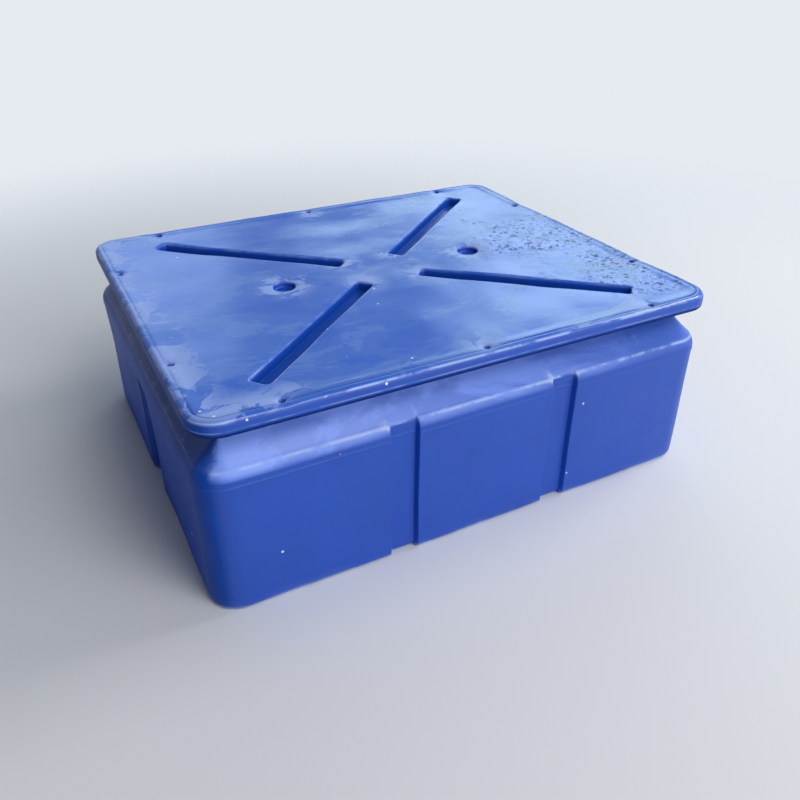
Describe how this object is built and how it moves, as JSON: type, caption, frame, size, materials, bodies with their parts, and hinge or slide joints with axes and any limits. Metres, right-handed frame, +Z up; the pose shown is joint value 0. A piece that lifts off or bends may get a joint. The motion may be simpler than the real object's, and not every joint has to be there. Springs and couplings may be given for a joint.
{
  "type": "dock float drum",
  "caption": "Rectangular moulded dock float with a bolting flange round its top, slanting stiffening grooves, a sloped shoulder and upright wall channels.",
  "frame": {"origin": "centre of the underside, on the surface that the float stands on", "axes": "+Z up, +X along the long side of the flange, +Y along its short side"},
  "size_m": [1.212, 1, 0.445],
  "materials": {
    "float_plastic": "glossy blue rotationally moulded polyethylene, slightly wavy, with fine scuffs and dried water spots"
  },
  "bodies": {
    "root": {"float_shell": "float_plastic"}
  },
  "joints": []
}
